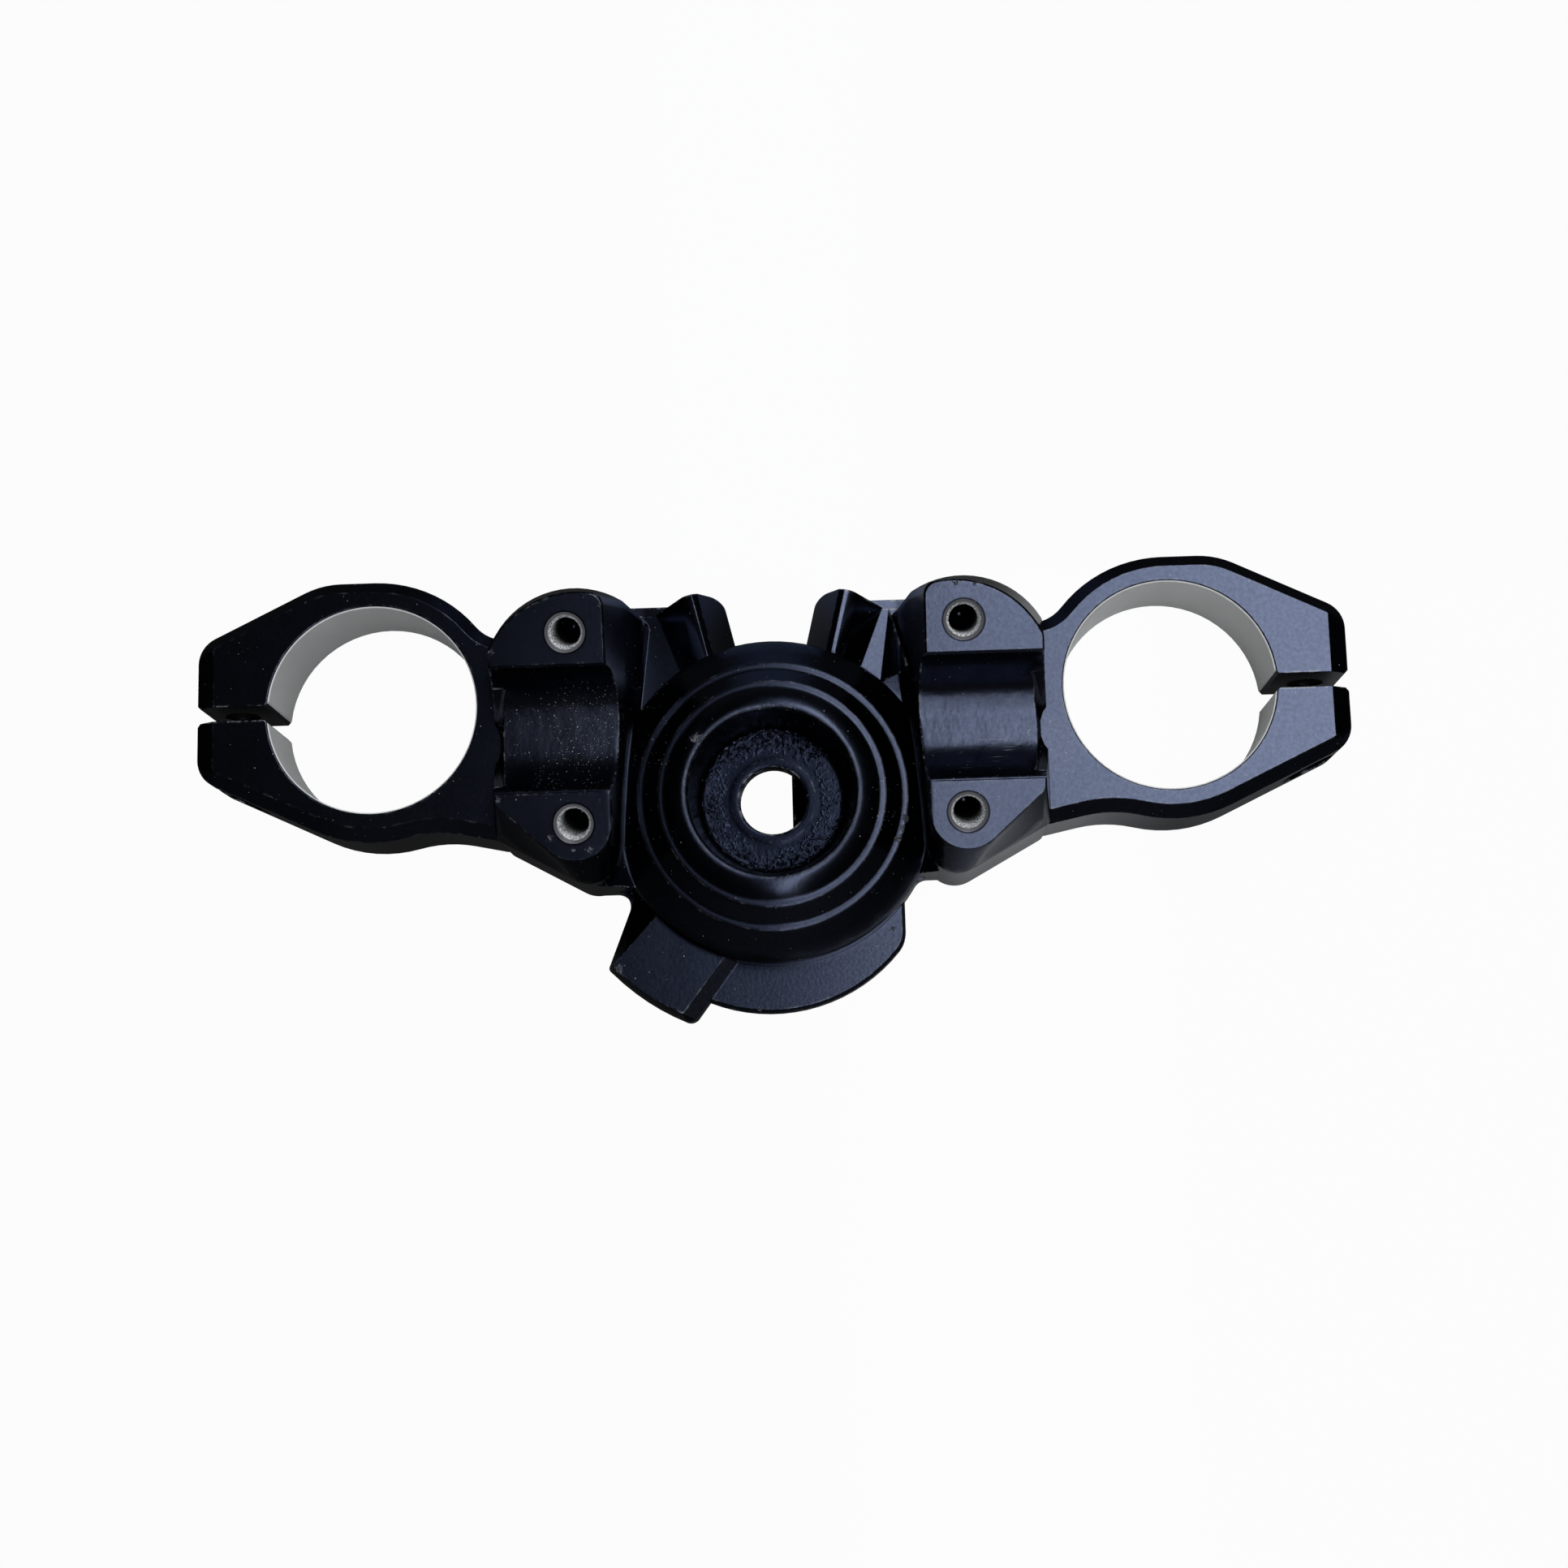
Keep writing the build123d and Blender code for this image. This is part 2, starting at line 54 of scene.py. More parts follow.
# Soft panels overhead on the right, with a dim bluish one at their left edge and a weak one at the front.
# Each has its two limits in X, its two in Y, a brightness and a colour.
panel_height = 1.20
panel_colour = (0.93, 0.96, 1.0)
panel_edge = (0.25, 0.45, 1.0)
panel_front = (0.70, 0.84, 1.0)
panel_spans = (
    (-0.09, 0.045, -1.40, 1.15, 0.32, panel_edge),
    (-0.05, 0.45, 1.25, 1.75, 0.9, panel_front),
    (0.045, 0.13, -1.40, -0.15, 4.8, panel_colour),
    (0.13, 0.23, -1.40, -0.15, 5.8, panel_colour),
    (0.045, 0.13, -0.15, 1.15, 3.9, panel_colour),
    (0.13, 0.23, -0.15, 1.15, 4.6, panel_colour),
    (0.23, 0.36, -0.45, 1.20, 5.2, panel_colour),
    (0.36, 0.53, 0.00, 1.25, 7.2, panel_colour),
)

# Room: dim low down and brighter overhead, with a glow near the horizon ahead and behind, and a fill that
# only matt surfaces get. A pair gives the two heights between which a tone changes.
world_tone = (0.95, 0.98, 1.0)
world_low = 0.008
world_top = 0.030
world_rise = (0.5, 0.9)
world_horizon = 0.09
horizon_fall = (0.6, 0.1)
world_fill = 0.28

# Floor: its colour paints a pool of light in a band on the right, painted shade elsewhere, and a painted
# bluish glow at the notch between the fins, which the casting reflects. A pair gives the two places
# between which a tone changes.
floor_half = 1.5
floor_drop = 0.0002
floor_painted_light = (0.52, 0.52, 0.51)
floor_painted_shade = (0.015, 0.015, 0.015)
floor_painted_glow = (0.12, 0.15, 0.24)
floor_rise = (-0.01, 0.07)
floor_fall = (0.072, 0.10)
floor_fall_share = 0.8
floor_ahead = (0.045, 0.065)
floor_notch = (0.015, 0.045)
floor_seen = 0.97
floor_mirrored = 0.02

# Threads: the flank is the ridge's steepness and how far its root is cut off. An axis that lies along Y by
# more than a limit has its frame set out from X instead.
thread_pitch = 0.00125
thread_depth = 0.00061
thread_seat = 0.00002
thread_steps = 72
thread_rows = 10
thread_flank = (1.6, 0.25)
along_limit = 0.9

# Shading of the casting's mesh
smooth_angle = radians(32.0)
merge_distance = 1e-6


def mount_place(name):
    """Place of a mount, in millimetres."""
    return [value * per_metre for value in mounts[name]["pos_m"]]


# Places that the mounts give, in millimetres: fork bores, handlebar groove, tilted pads and cap bolts
fork_across, fork_along, _ = mount_place("fork_clamp_right")
fork_radius = mounts["fork_clamp_right"]["dims"]["r_mm"]
_, bar_along, bar_high = mount_place("handlebar")
groove_radius = mounts["handlebar"]["dims"]["r_mm"]
bolt_across, bolt_y, bolt_z = mount_place("cap_bolt_front_right")
bolt_axis = mounts["cap_bolt_front_right"]["axis"]
pad_tilt = atan2(-bolt_axis[1], bolt_axis[2])
bolt_along = (bolt_y - bar_along) * cos(pad_tilt) + (bolt_z - bar_high) * sin(pad_tilt)

# Other places on the casting, in millimetres. A pair gives the limits of a soft edge, from 0 to 1.
bore_edge = (fork_radius + 0.34, fork_radius + 0.20)
groove_edge = (groove_radius + 0.5, groove_radius + 0.2)
sink_radius = 4.7
sink_rim = (sink_radius + 0.02, sink_radius - 0.08)
sink_depth = (-1.6, -1.0)
lip_inside = (sink_radius - 0.04, sink_radius + 0.06)
lip_outside = (sink_radius + 0.46, sink_radius + 0.26)
wear_start = (sink_radius + 0.2, sink_radius + 1.0)
cup_floor_radius = 17.2
cup_edge = (cup_floor_radius + 0.3, cup_floor_radius - 0.5)
cup_floor_height = 12.5
cup_level = (cup_floor_height + 0.9, cup_floor_height + 0.5)
land_radius = 10.4
pitted_start = (land_radius + 0.5, cup_floor_radius - 1.5)
boss_radius = 39.4
boss_edge = (boss_radius, boss_radius - 1.0)
boss_clear = (boss_radius - 0.4, boss_radius + 0.6)
rim_radius = 21.5
rim_edge = (3.0, 2.0)
ledge_radii = (27.8, 33.0)
ledge_width = 1.3
ledge_start = (13.0, 19.0)
flank_inside = (30.5, 32.0)
flank_outside = (37.5, 30.5)
flank_rear = (-12.0, -10.0)
front_start = (20.0, 22.0)

# Finishes, and painted shade in the cup's recess and down the threaded holes
coat_colour = (0.0385, 0.0447, 0.0665)
coat_shade = (0.0305, 0.0353, 0.0525)
coat_shading = (0.3, 0.7)
# Coat on the cup floor: painted shade of its recess
coat_cup_painted_shade = (0.0125, 0.0150, 0.0255)
coat_roughness = 0.205
coat_mottle = 0.04
groove_mottle = 0.08
metal_colour = (0.95, 0.95, 0.93)
metal_stain = (0.83, 0.83, 0.81)
metal_roughness = 0.40
metal_dullness = 0.80
sink_colour = (0.20, 0.20, 0.21)
sink_dullness = 0.40
sink_edge = (0.006, 0.007, 0.010)
thread_colour = (0.95, 0.95, 0.95)
# Colour deep in the threaded holes: painted shade of their depth, with oil
thread_oil_and_shade = (0.012, 0.012, 0.013)
thread_clean_lit_depth = (-16.0, -2.0)
thread_clean_grain = (0.30, 0.62)
thread_roughness = 0.35
thread_mottle = 0.2
thread_metallic = 0.45
dust_colour = (0.40, 0.40, 0.41)
dust_roughness = 0.75
haze_share = 0.02
knock_paleness = 0.55
scratch_paleness = 0.35
worn_paleness = 0.65

# Rounding of edges in the shine, and how far from an edge it wears, in metres
edge_softness = 0.00028
boss_softness = 0.0012
rim_softness = 0.0018
wear_reach = 0.0006
wear_limits = (0.92, 0.65)
edge_samples = 6

# Heights of the surface's relief, in millimetres, and how far the shine leans
grain_height = 0.022
lump_height = 0.34
crumb_height = 0.07
groove_height = 0.16
knock_height = 0.20
turning_height = 0.006
ledge_fall = 0.055
flank_lean = 0.40
front_lean = 0.06

# Grain: its size in millimetres on the coat and in the threads, the detail and roughness of its noise, and
# how many times larger the mottle is
grain_size = 0.9
thread_grain_size = 0.35
grain_detail = (4.0, 0.6)
mottle_size = 9.0

# Noises: waves per millimetre, detail and, where it isn't the usual one, roughness. The one that warps the
# outlines of knocks moves them over a width in millimetres.
crumb_noise = (1.9, 3.0, 0.6)
knock_warp_noise = (1.2, 3.0)
knock_warp = 2.6

# Patches of a noise: the noise, and the limits between which it shows
patch_pattern = ((0.09, 2.0), (0.32, 0.52))
lump_pattern = ((0.8, 2.0), (0.47, 0.70))
knock_pattern = ((2.2, 3.0, 0.6), (0.38, 0.60))
rub_pattern = ((0.35, 4.0, 0.7), (0.46, 0.66))

# Stretched noises: waves per millimetre each way, and detail. Those of the groove run along the bar and
# round its arc.
turning_marks = ((0.02, 0.02, 3.0), 4.0)
bore_stain = ((0.12, 0.12, 0.05), 3.0)
groove_waves = ((0.16, 0.10, 0.0), 3.0)
groove_strokes = ((0.12, 2.4, 0.0), 2.0)
stroke_limits = (0.62, 0.70)

# Dust: sizes of its two layers of specks, how far apart the layers lie, and the warped cells that hold the
# specks. A speck's radius is a share of its cell, and its strength a share of full cover.
dust_sizes = (0.18, 0.27)
dust_aside = (31.7, 5.3, 11.9)
dust_warp_waves = 3.0
dust_warp = 0.12
dust_cell = 0.32
speck_least = 0.08
speck_range = 0.14
speck_core = 0.5
strength_least = 0.4
strength_range = 0.6

# Dusty places: centre and reach in millimetres, and the share of cells with a speck. The base is the share
# everywhere else.
dust_base = 0.03
dust_places = (
    ((-44.0, 17.0, 29.0), 15.0, 0.95),
    ((-56.0, 15.0, 29.0), 11.0, 0.35),
    ((-48.0, 4.0, 31.5), 12.0, 0.55),
    ((-30.5, 27.0, 14.0), 8.0, 0.30),
    ((-29.0, 12.0, 20.0), 10.0, 0.30),
    ((28.5, -4.0, 22.0), 9.0, 0.30),
    ((67.0, 9.0, 25.0), 10.0, 0.35),
)

# Knocked and chipped places: centre and reach, in millimetres
knocks = (
    ((-17.6, 13.3, 26.1), 1.7),
    ((-31.1, 23.5, 13.5), 0.8),
    ((-16.8, 5.3, 13.9), 0.5),
    ((29.7, -11.2, 20.0), 1.1),
    ((30.9, -8.8, 20.0), 0.8),
    ((31.7, -6.4, 20.0), 1.0),
    ((-38.4, -39.6, 9.4), 1.3),
    ((-4.8, -49.7, 4.4), 0.7),
    ((27.8, -31.1, 4.5), 0.6),
    ((-22.6, -23.6, 19.7), 0.5),
    ((48.4, 42.4, 51.4), 0.7),
    ((44.2, 42.7, 51.5), 0.6),
    ((-51.4, -11.0, 34.8), 0.8),
    ((-46.1, -13.7, 34.0), 0.7),
    ((-42.3, -13.9, 33.9), 0.9),
    ((-37.3, 40.4, 50.8), 0.7),
    ((-63.0, -2.3, 37.5), 0.9),
    ((-63.0, 30.8, 47.8), 0.7),
)

# Scratched places in the right groove: centre and reach, in millimetres
scratches = (((46.5, 4.8, 30.9), 4.5), ((53.0, 7.6, 29.3), 5.5))

# Share of its reach within which a place is at its full strength
spot_core = 0.4


def link(obj):
    """Puts a new object into the scene."""
    bpy.context.scene.collection.objects.link(obj)
    return obj


def surface(name, points, material, closed=False):
    """Piece of quads over a grid of points, shaped (u, v, 3), joined end to start both ways if closed."""
    index = np.arange(points.size // 3).reshape(points.shape[:2])
    if closed:
        index = np.pad(index, ((0, 1), (0, 1)), mode="wrap")
    quads = np.stack([index[:-1, :-1], index[1:, :-1], index[1:, 1:], index[:-1, 1:]], -1).reshape(-1, 4)
    mesh = bpy.data.meshes.new(name)
    mesh.from_pydata(points.reshape(-1, 3).tolist(), [], quads.tolist())
    mesh.polygons.foreach_set("use_smooth", np.ones(len(quads), bool))
    mesh.update()
    mesh.materials.append(material)
    return link(bpy.data.objects.new(name, mesh))


def give(tree, node, inputs):
    """Gives a node's sockets values or links."""
    for key, value in inputs.items():
        if isinstance(value, bpy.types.NodeSocket):
            tree.links.new(value, node.inputs[key])
        else:
            node.inputs[key].default_value = value


def put(tree, kind, inputs=None, **settings):
    """New node: settings are its own properties, inputs give its sockets values or links."""
    made = tree.nodes.new(kind)
    for name, value in settings.items():
        setattr(made, name, value)
    give(tree, made, inputs or {})
    return made


def calc(tree, operation, *terms):
    """Result of an operation on values and sockets."""
    return put(tree, "ShaderNodeMath", dict(enumerate(terms)), operation=operation).outputs[0]


def move(tree, operation, *terms):
    """Result of an operation on vectors."""
    return put(tree, "ShaderNodeVectorMath", dict(enumerate(terms)), operation=operation).outputs[0]


def scaled(tree, place, factor):
    """Vector times a number."""
    return put(tree, "ShaderNodeVectorMath", {0: place, "Scale": factor}, operation="SCALE").outputs[0]


def product(tree, *values):
    """Product of several values."""
    result = values[0]
    for value in values[1:]:
        result = calc(tree, "MULTIPLY", result, value)
    return result


def most(tree, *values):
    """Largest of several values."""
    result = values[0]
    for value in values[1:]:
        result = calc(tree, "MAXIMUM", result, value)
    return result


def fade(tree, value, start, end):
    """Rises softly from 0 where the value is at start to 1 where it is at end."""
    limits = {"Value": value, "From Min": start, "From Max": end}
    return put(tree, "ShaderNodeMapRange", limits, interpolation_type="SMOOTHSTEP").outputs["Result"]


def spot(tree, place, centre, reach):
    """1 near a centre, falling softly to 0 at its reach."""
    apart = put(tree, "ShaderNodeVectorMath", {0: place, 1: centre}, operation="DISTANCE")
    return fade(tree, apart.outputs["Value"], reach, reach * spot_core)


def blend(tree, share, below, above):
    """Colour or value that goes from one to another as a share goes from 0 to 1."""
    is_colour = isinstance(below, tuple) or getattr(below, "type", "") == "RGBA"
    kind, ending = ("RGBA", "Color") if is_colour else ("FLOAT", "Float")
    mix = put(tree, "ShaderNodeMix", data_type=kind)
    sockets = {socket.identifier: socket for socket in mix.inputs}
    for name, value in (("Factor_Float", share), ("A_" + ending, below), ("B_" + ending, above)):
        if isinstance(value, bpy.types.NodeSocket):
            tree.links.new(value, sockets[name])
        else:
            sockets[name].default_value = (*value, 1) if isinstance(value, tuple) else value
    return [out for out in mix.outputs if out.enabled][0]


def noise(tree, place, scale, detail=3.0, rough=0.55):
    """Noise from 0 to 1 with a scale in waves per millimetre."""
    inputs = {"Vector": place, "Scale": scale, "Detail": detail, "Roughness": rough}
    return put(tree, "ShaderNodeTexNoise", inputs).outputs["Fac"]


def patches(tree, place, pattern):
    """Patches where a noise is past its limits."""
    settings, limits = pattern
    return fade(tree, noise(tree, place, *settings), *limits)


def stretched(tree, place, pattern):
    """Noise with its own waves per millimetre each way."""
    stretch, detail = pattern
    return noise(tree, move(tree, "MULTIPLY", place, stretch), 1.0, detail)


def vector(tree, x, y, z):
    """Vector of three values or sockets."""
    return put(tree, "ShaderNodeCombineXYZ", {"X": x, "Y": y, "Z": z}).outputs[0]


def parts(tree, place):
    """X, Y and Z of a place."""
    return put(tree, "ShaderNodeSeparateXYZ", {0: place}).outputs


def length(tree, across, along):
    """Length of a vector that has two parts."""
    square = calc(tree, "MULTIPLY_ADD", across, across, calc(tree, "MULTIPLY", along, along))
    return calc(tree, "SQRT", square)


def millimetres(tree):
    """Object coordinates in millimetres."""
    return scaled(tree, put(tree, "ShaderNodeTexCoord").outputs["Object"], per_metre)


def new_group(name, inputs, outputs):
    """Shader group with named sockets; an input with no default takes a vector. Gives it and its ends."""
    tree = bpy.data.node_groups.new(name, "ShaderNodeTree")
    for socket, default in inputs.items():
        kind = "NodeSocketVector" if default is None else "NodeSocketFloat"
        made = tree.interface.new_socket(socket, in_out="INPUT", socket_type=kind)
        if default is not None:
            made.default_value = default
    for socket in outputs:
        tree.interface.new_socket(socket, in_out="OUTPUT", socket_type="NodeSocketFloat")
    return tree, tree.nodes.new("NodeGroupInput").outputs, tree.nodes.new("NodeGroupOutput")


def use_group(tree, group, inputs):
    """Places a shared group in a material and returns its outputs."""
    return put(tree, "ShaderNodeGroup", inputs, node_tree=group).outputs


def grain_group():
    """Grain of a cast and coated surface: a fine bump and a slow mottle, both from 0 to 1."""
    inputs = {"Place": None, "Size": grain_size}
    tree, given, result = new_group("cast_grain", inputs, ("Height", "Mottle"))
    scale = calc(tree, "DIVIDE", 1.0, given["Size"])
    fine = noise(tree, given["Place"], scale, *grain_detail)
    slow = noise(tree, given["Place"], calc(tree, "DIVIDE", scale, mottle_size))
    give(tree, result, {"Height": fine, "Mottle": slow})
    return tree


def dust_group():
    """Specks of dust: one per cell of a cell pattern, in a share of the cells, each with its own size."""
    inputs = {"Place": None, "Size": dust_sizes[0], "Amount": dust_base}
    tree, given, result = new_group("dust", inputs, ("Mask",))
    warp = put(tree, "ShaderNodeTexNoise", {"Vector": given["Place"], "Scale": dust_warp_waves})
    place = move(tree, "ADD", given["Place"], scaled(tree, warp.outputs["Color"], dust_warp))
    scale = calc(tree, "DIVIDE", dust_cell, given["Size"])
    cells = put(tree, "ShaderNodeTexVoronoi", {"Vector": place, "Scale": scale}).outputs
    chance = put(tree, "ShaderNodeSeparateColor", {"Color": cells["Color"]}).outputs
    there = calc(tree, "LESS_THAN", chance["Red"], given["Amount"])
    size = calc(tree, "MULTIPLY_ADD", chance["Green"], speck_range, speck_least)
    speck = fade(tree, cells["Distance"], size, calc(tree, "MULTIPLY", size, speck_core))
    strong = calc(tree, "MULTIPLY_ADD", chance["Blue"], strength_range, strength_least)
    give(tree, result, {"Mask": product(tree, speck, there, strong)})
    return tree


def axis_group():
    """Distance of a place from an upright axis at X and Y."""
    tree, given, result = new_group("axis_distance", {"Place": None, "X": 0.0, "Y": 0.0}, ("Distance",))
    x, y, _ = parts(tree, given["Place"])
    across = calc(tree, "SUBTRACT", x, given["X"])
    along = calc(tree, "SUBTRACT", y, given["Y"])
    give(tree, result, {"Distance": length(tree, across, along)})
    return tree


def pad_group():
    """Places in the tilted frame of the saddles: along the pad from the bar's axis, above the pad, and
    round the bar's axis, as a distance from it and a length of arc from the groove's bottom."""
    tree, given, result = new_group("saddle_place", {"Place": None}, ("Along", "Above", "Radius", "Arc"))
    _, y, z = parts(tree, given["Place"])
    ahead = calc(tree, "SUBTRACT", y, bar_along)
    high = calc(tree, "SUBTRACT", z, bar_high)
    along = calc(tree, "MULTIPLY_ADD", ahead, cos(pad_tilt), calc(tree, "MULTIPLY", high, sin(pad_tilt)))
    above = calc(tree, "MULTIPLY_ADD", high, cos(pad_tilt), calc(tree, "MULTIPLY", ahead, -sin(pad_tilt)))
    turn = calc(tree, "ARCTAN2", along, calc(tree, "MULTIPLY", above, -1.0))
    arc = calc(tree, "MULTIPLY", turn, groove_radius)
    radius = length(tree, along, above)
    give(tree, result, {"Along": along, "Above": above, "Radius": radius, "Arc": arc})
    return tree


def smooth_by_angle(obj):
    """Joins the doubled vertices, and shades smoothly across every edge that turns less than an angle."""
    tree = bpy.data.node_groups.new("smooth_by_angle", "GeometryNodeTree")
    for end in ("INPUT", "OUTPUT"):
        tree.interface.new_socket("Geometry", in_out=end, socket_type="NodeSocketGeometry")
    source = put(tree, "NodeGroupInput").outputs["Geometry"]
    merging = {"Geometry": source, "Distance": merge_distance}
    merged = put(tree, "GeometryNodeMergeByDistance", merging).outputs["Geometry"]
    smoothing = {"Geometry": merged, "Shade Smooth": True}
    smooth = put(tree, "GeometryNodeSetShadeSmooth", smoothing, domain="FACE").outputs["Geometry"]
    turn = put(tree, "GeometryNodeInputMeshEdgeAngle").outputs["Unsigned Angle"]
    sharp = put(tree, "FunctionNodeCompare", {"A": turn, "B": smooth_angle}, operation="GREATER_THAN")
    creasing = {"Geometry": smooth, "Selection": sharp.outputs["Result"], "Shade Smooth": False}
    creased = put(tree, "GeometryNodeSetShadeSmooth", creasing, domain="EDGE").outputs["Geometry"]
    put(tree, "NodeGroupOutput", {"Geometry": creased})
    obj.modifiers.new("smooth_by_angle", "NODES").node_group = tree
    weighted = obj.modifiers.new("weighted_normals", "WEIGHTED_NORMAL")
    weighted.keep_sharp = True


def thread_surface(radius, depth):
    """Closed sleeve of thread along Z, from 0 down to -depth.

    Radius at an angle a and a height z: r = radius - thread_depth * ridge(z / pitch - a / turn), where
    ridge climbs from 0 to 1 and back over each pitch, and grows from nothing over the first pitch below
    the mouth; the outer wall closes the sleeve behind it.
    """
    heights = np.linspace(0, -depth, int(depth / thread_pitch * thread_rows))
    angles = np.linspace(0, 2 * pi, thread_steps, endpoint=False)[:, None]
    phase = (heights[None, :] / thread_pitch - angles / (2 * pi)) % 1.0
    steep, root = thread_flank
    ridge = np.clip(steep * (1 - np.abs(2 * phase - 1)) - root, 0, 1)
    start = np.clip(-heights / thread_pitch, 0, 1)[None, :]
    inner = radius - thread_seat - thread_depth * ridge * start
    outer = np.full((thread_steps, 2), radius - thread_seat / 2)
    radii = np.hstack([inner, outer])
    levels = np.concatenate([heights, heights[[-1, 0]]])[None, :].repeat(thread_steps, 0)
    return np.stack([radii * np.cos(angles), radii * np.sin(angles), levels], -1)


def frame_of(axis):
    """Rows of a right-handed frame whose third row is an axis."""
    third = np.array(axis) / np.linalg.norm(axis)
    first = np.cross((0, 1, 0) if abs(third[1]) < along_limit else (1, 0, 0), third)
    first /= np.linalg.norm(first)
    return np.array([first, np.cross(third, first), third])


def threads(material):
    """Thread in every threaded hole, from its mouth to the end of its wall, at its mount's place."""
    for name, mount in mounts.items():
        if mount["kind"] != "threaded_hole":
            continue
        depth = mount["dims"]["length_mm"] / per_metre
        axis = np.array(mount["axis"])
        mouth = np.array(mount["pos_m"]) + axis * depth / 2
        points = thread_surface(mount["dims"]["r_mm"] / per_metre, depth) @ frame_of(axis) + mouth
        sleeve = surface(name + "_thread", points, material, closed=True)
        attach(sleeve, "root")


def new_material(name):
    """New node material; returns it, its tree and its Principled shader."""
    material = bpy.data.materials.new(name)
    material.use_nodes = True
    return material, material.node_tree, material.node_tree.nodes["Principled BSDF"]


def relief(tree, height, **under):
    """Normal of a relief whose height is in millimetres, over the normal under it if one is given."""
    inputs = {"Strength": 1.0, "Distance": 1 / per_metre, "Height": height, **under}
    return put(tree, "ShaderNodeBump", inputs).outputs["Normal"]


def bolt_mouths(tree, saddle, side):
    """Countersunk mouths of the bolt holes, dark lips round them, and the distance from a hole's axis."""
    beside = calc(tree, "SUBTRACT", calc(tree, "ABSOLUTE", saddle["Along"]), bolt_along)
    distance = length(tree, calc(tree, "SUBTRACT", side, bolt_across), beside)
    at_mouth = fade(tree, saddle["Above"], *sink_depth)
    sink = product(tree, fade(tree, distance, *sink_rim), at_mouth)
    lip = product(tree, fade(tree, distance, *lip_inside), fade(tree, distance, *lip_outside), at_mouth)
    return sink, lip, distance


def cup_floor(tree, place, z, distance):
    """Cup floor, and the height of its lumps and crumbs, with a smoother land round the stem hole."""
    cup = product(tree, fade(tree, z, *cup_level), fade(tree, distance, *cup_edge))
    pitted = product(tree, cup, fade(tree, distance, *pitted_start))
    lumps = product(tree, patches(tree, place, lump_pattern), patches(tree, place, patch_pattern))
    crumbs = product(tree, noise(tree, place, *crumb_noise), crumb_height)
    return cup, product(tree, calc(tree, "MULTIPLY_ADD", lumps, lump_height, crumbs), pitted)


def groove_marks(tree, place, x, saddle):
    """Slow waves along the curve of the grooves, and scratches along the bar."""
    groove = fade(tree, saddle["Radius"], *groove_edge)
    unrolled = vector(tree, x, saddle["Arc"], 0.0)
    waves = product(tree, groove, stretched(tree, unrolled, groove_waves))
    strokes = fade(tree, stretched(tree, unrolled, groove_strokes), *stroke_limits)
    scratched = most(tree, *[spot(tree, place, *where) for where in scratches])
    return waves, product(tree, scratched, strokes)


def dust_layers(tree, place, dust):
    """Two layers of specks over a faint haze, thickest at the dusty places."""
    amounts = [product(tree, spot(tree, place, *where), share) for *where, share in dust_places]
    amount = most(tree, *amounts, dust_base)
    layers = [product(tree, amount, haze_share)]
    for size, where in zip(dust_sizes, (place, move(tree, "ADD", place, dust_aside))):
        layers.append(use_group(tree, dust, {"Place": where, "Size": size, "Amount": amount})["Mask"])
    return most(tree, *layers)


def knock_marks(tree, place):
    """Knocked and chipped places, with ragged outlines."""
    scale, detail = knock_warp_noise
    warp = put(tree, "ShaderNodeTexNoise", {"Vector": place, "Scale": scale, "Detail": detail})
    spread = move(tree, "MULTIPLY_ADD", warp.outputs["Color"], (knock_warp,) * 3, place)
    ragged = move(tree, "ADD", spread, (-knock_warp / 2,) * 3)
    struck = most(tree, *[spot(tree, ragged, *where) for where in knocks])
    return product(tree, struck, patches(tree, place, knock_pattern))


def worn_edges(tree, place, bolt_distance):
    """Edges rubbed pale in patches, clear of the bolt holes."""
    looking = {"samples": edge_samples, "inside": True, "only_local": True}
    inside = put(tree, "ShaderNodeAmbientOcclusion", {"Distance": wear_reach}, **looking)
    edge = fade(tree, inside.outputs["AO"], *wear_limits)
    clear = fade(tree, bolt_distance, *wear_start)
    return product(tree, edge, patches(tree, place, rub_pattern), worn_paleness, clear)


def ledge_slopes(tree, z, distance):
    """Height of the boss's ledges, which fall a little towards their outer edges."""
    slopes = []
    for radius in ledge_radii:
        inwards = most(tree, calc(tree, "SUBTRACT", radius, distance), 0.0)
        slopes.append(product(tree, calc(tree, "MINIMUM", inwards, ledge_width), ledge_fall))
    return product(tree, calc(tree, "ADD", *slopes), fade(tree, z, *ledge_start))


def rounded_edges(tree, distance):
    """Normal with rounded edges: a little all over, more on the boss and most on the cup's rim."""
    from_rim = calc(tree, "ABSOLUTE", calc(tree, "SUBTRACT", distance, rim_radius))
    on_boss = blend(tree, fade(tree, from_rim, *rim_edge), boss_softness, rim_softness)
    softness = blend(tree, fade(tree, distance, *boss_edge), edge_softness, on_boss)
    return put(tree, "ShaderNodeBevel", {"Radius": softness}, samples=edge_samples).outputs["Normal"]


def lean(tree, x, y, side, distance):
    """Turn of the shine: inner flanks of the towers shine as if they leaned back a little more, and the
    fins and valleys at the front as if they leaned outward."""
    clear = fade(tree, distance, *boss_clear)
    across = product(tree, fade(tree, side, *flank_inside), fade(tree, side, *flank_outside))
    flank = product(tree, across, clear, fade(tree, y, *flank_rear))
    front = product(tree, fade(tree, y, *front_start), fade(tree, side, *flank_inside[::-1]), clear)
    outward = product(tree, front, calc(tree, "SIGN", x), front_lean)
    return vector(tree, outward, 0.0, product(tree, flank, flank_lean))


